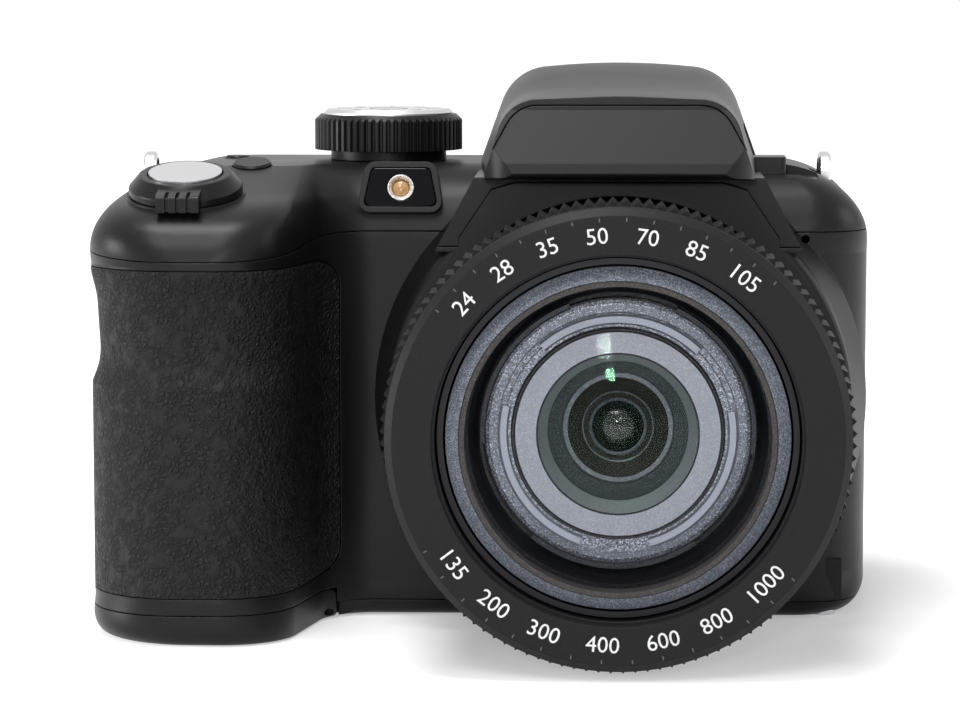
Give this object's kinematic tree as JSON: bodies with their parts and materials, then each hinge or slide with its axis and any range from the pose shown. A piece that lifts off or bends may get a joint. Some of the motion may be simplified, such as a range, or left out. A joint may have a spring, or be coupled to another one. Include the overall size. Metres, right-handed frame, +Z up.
{
  "type": "bridge camera",
  "caption": "Bridge camera with a grip, an extending zoom lens, a pop-up flash, a mode dial, a zoom lever ring, rear buttons, a hinged battery door and a tripod socket.",
  "frame": {"origin": "mouth of the tripod socket in the base, below the lens axis", "axes": "-Y is where the lens points, +X is to the right as seen from the front, +Z is up"},
  "size_m": [0.1189, 0.0908, 0.0855],
  "materials": {
    "shell": "satin",
    "grip_skin": "fine grain",
    "lens_black": "satin",
    "lens_metal": "black anodised",
    "rim_paint": "metallic",
    "optic": "coated",
    "clear_window": "polished",
    "flash_clear": "ribbed",
    "amber": "clear amber",
    "button_black": "satin",
    "silver": "satin plated",
    "bright_strip": "silver",
    "steel": "plain",
    "board": "green",
    "sensor": "polished",
    "screen": "polished",
    "cell": "printed film",
    "reflector": "polished"
  },
  "bodies": {
    "camera_body": {"front_cover": "shell", "rear_cover": "shell", "top_cover": "shell", "base_cover": "shell", "grip_rubber": "grip_skin", "thumb_rubber": "grip_skin", "side_trim": "bright_strip", "chassis": "steel", "tripod_socket": "steel", "main_board": "board", "flash_capacitor": "cell", "zoom_motor": "steel", "battery_holder": "button_black", "battery": "cell", "card_slot": "steel", "usb_socket": "steel", "cover_screws": "steel", "af_window": "clear_window", "af_lamp": "amber", "strap_lug_left": "silver", "strap_lug_right": "silver", "lens_ring": "lens_black", "lens_tube": "lens_black", "rear_lens": "optic", "image_sensor": "sensor", "sensor_plate": "board", "lcd_window": "screen", "lcd_panel": "screen", "dial_switch": "button_black", "flash_pin": "steel", "door_pin": "steel"},
    "outer_barrel": {"outer_barrel": "lens_metal"},
    "inner_barrel": {"inner_barrel": "lens_metal", "rim_ring": "rim_paint", "front_lens": "optic", "lens_funnel": "lens_black", "second_frame": "lens_metal", "second_lens": "optic", "third_frame": "lens_black", "third_lens": "optic"},
    "zoom_lever": {"zoom_lever": "button_black"},
    "shutter_button": {"shutter_button": "silver"},
    "power_button": {"power_button": "button_black"},
    "top_button": {"top_button": "button_black"},
    "mode_dial": {"mode_dial": "button_black", "dial_cap": "silver"},
    "flash_lid": {"flash_lid": "shell", "flash_window": "flash_clear", "flash_reflector": "reflector", "flash_tube": "flash_clear"},
    "release_button": {"release_button": "button_black"},
    "record_button": {"record_button": "button_black"},
    "playback_button": {"playback_button": "button_black"},
    "menu_button": {"menu_button": "button_black"},
    "delete_button": {"delete_button": "button_black"},
    "four_way_pad": {"four_way_pad": "button_black"},
    "set_button": {"set_button": "button_black"},
    "battery_door": {"battery_door": "shell"},
    "door_latch": {"door_latch": "button_black"},
    "port_cover": {"port_cover": "shell"}
  },
  "joints": [
    {"name": "outer_barrel_slide", "type": "slide", "parent": "camera_body", "child": "outer_barrel", "axis": [0, -1, 0], "range_m": [0, 0.024]},
    {"name": "inner_barrel_slide", "type": "slide", "parent": "outer_barrel", "child": "inner_barrel", "axis": [0, -1, 0], "range_m": [0, 0.022]},
    {"name": "zoom_lever_turn", "type": "hinge", "parent": "camera_body", "child": "zoom_lever", "pos_m": [-0.065, -0.033, 0.06649], "axis": [0, -0.225, 0.9744], "range_deg": [-22, 22], "stiffness_Nm_per_rad": 0.02},
    {"name": "shutter_press", "type": "slide", "parent": "camera_body", "child": "shutter_button", "axis": [0, 0.225, -0.9744], "range_m": [0, 0.0008], "stiffness_N_per_m": 300},
    {"name": "power_press", "type": "slide", "parent": "camera_body", "child": "power_button", "axis": [0, 0.225, -0.9744], "range_m": [0, 0.0005], "stiffness_N_per_m": 300},
    {"name": "top_button_press", "type": "slide", "parent": "camera_body", "child": "top_button", "axis": [0, 0, -1], "range_m": [0, 0.0005], "stiffness_N_per_m": 300},
    {"name": "mode_dial_turn", "type": "hinge", "parent": "camera_body", "child": "mode_dial", "pos_m": [-0.0368, 0.002, 0.0745], "axis": [0, 0, 1], "continuous": true},
    {"name": "flash_lid_hinge", "type": "hinge", "parent": "camera_body", "child": "flash_lid", "pos_m": [0, 0.005, 0.0805], "axis": [-1, 0, 0], "range_deg": [0, 50]},
    {"name": "release_press", "type": "slide", "parent": "camera_body", "child": "release_button", "axis": [-1, 0, 0], "range_m": [0, 0.0008], "stiffness_N_per_m": 300},
    {"name": "record_press", "type": "slide", "parent": "camera_body", "child": "record_button", "axis": [0, -1, 0], "range_m": [0, 0.0005], "stiffness_N_per_m": 300},
    {"name": "playback_press", "type": "slide", "parent": "camera_body", "child": "playback_button", "axis": [0, -1, 0], "range_m": [0, 0.0005], "stiffness_N_per_m": 300},
    {"name": "menu_press", "type": "slide", "parent": "camera_body", "child": "menu_button", "axis": [0, -1, 0], "range_m": [0, 0.0005], "stiffness_N_per_m": 300},
    {"name": "delete_press", "type": "slide", "parent": "camera_body", "child": "delete_button", "axis": [0, -1, 0], "range_m": [0, 0.0005], "stiffness_N_per_m": 300},
    {"name": "pad_press", "type": "slide", "parent": "camera_body", "child": "four_way_pad", "axis": [0, -1, 0], "range_m": [0, 0.0005], "stiffness_N_per_m": 300},
    {"name": "set_press", "type": "slide", "parent": "camera_body", "child": "set_button", "axis": [0, -1, 0], "range_m": [0, 0.0005], "stiffness_N_per_m": 300},
    {"name": "battery_door_hinge", "type": "hinge", "parent": "camera_body", "child": "battery_door", "pos_m": [-0.04468, 0, 0.0011], "axis": [0, -1, 0], "range_deg": [0, 90]},
    {"name": "door_latch_slide", "type": "slide", "parent": "battery_door", "child": "door_latch", "axis": [1, 0, 0], "range_m": [0, 0.0025]},
    {"name": "port_cover_hinge", "type": "hinge", "parent": "camera_body", "child": "port_cover", "pos_m": [0.03815, -0.0048, 0.025], "axis": [0, 0, -1], "range_deg": [0, 95]}
  ],
  "couplings": [
    {"joint": "inner_barrel_slide", "follows": "outer_barrel_slide", "ratio": 0.91667}
  ]
}
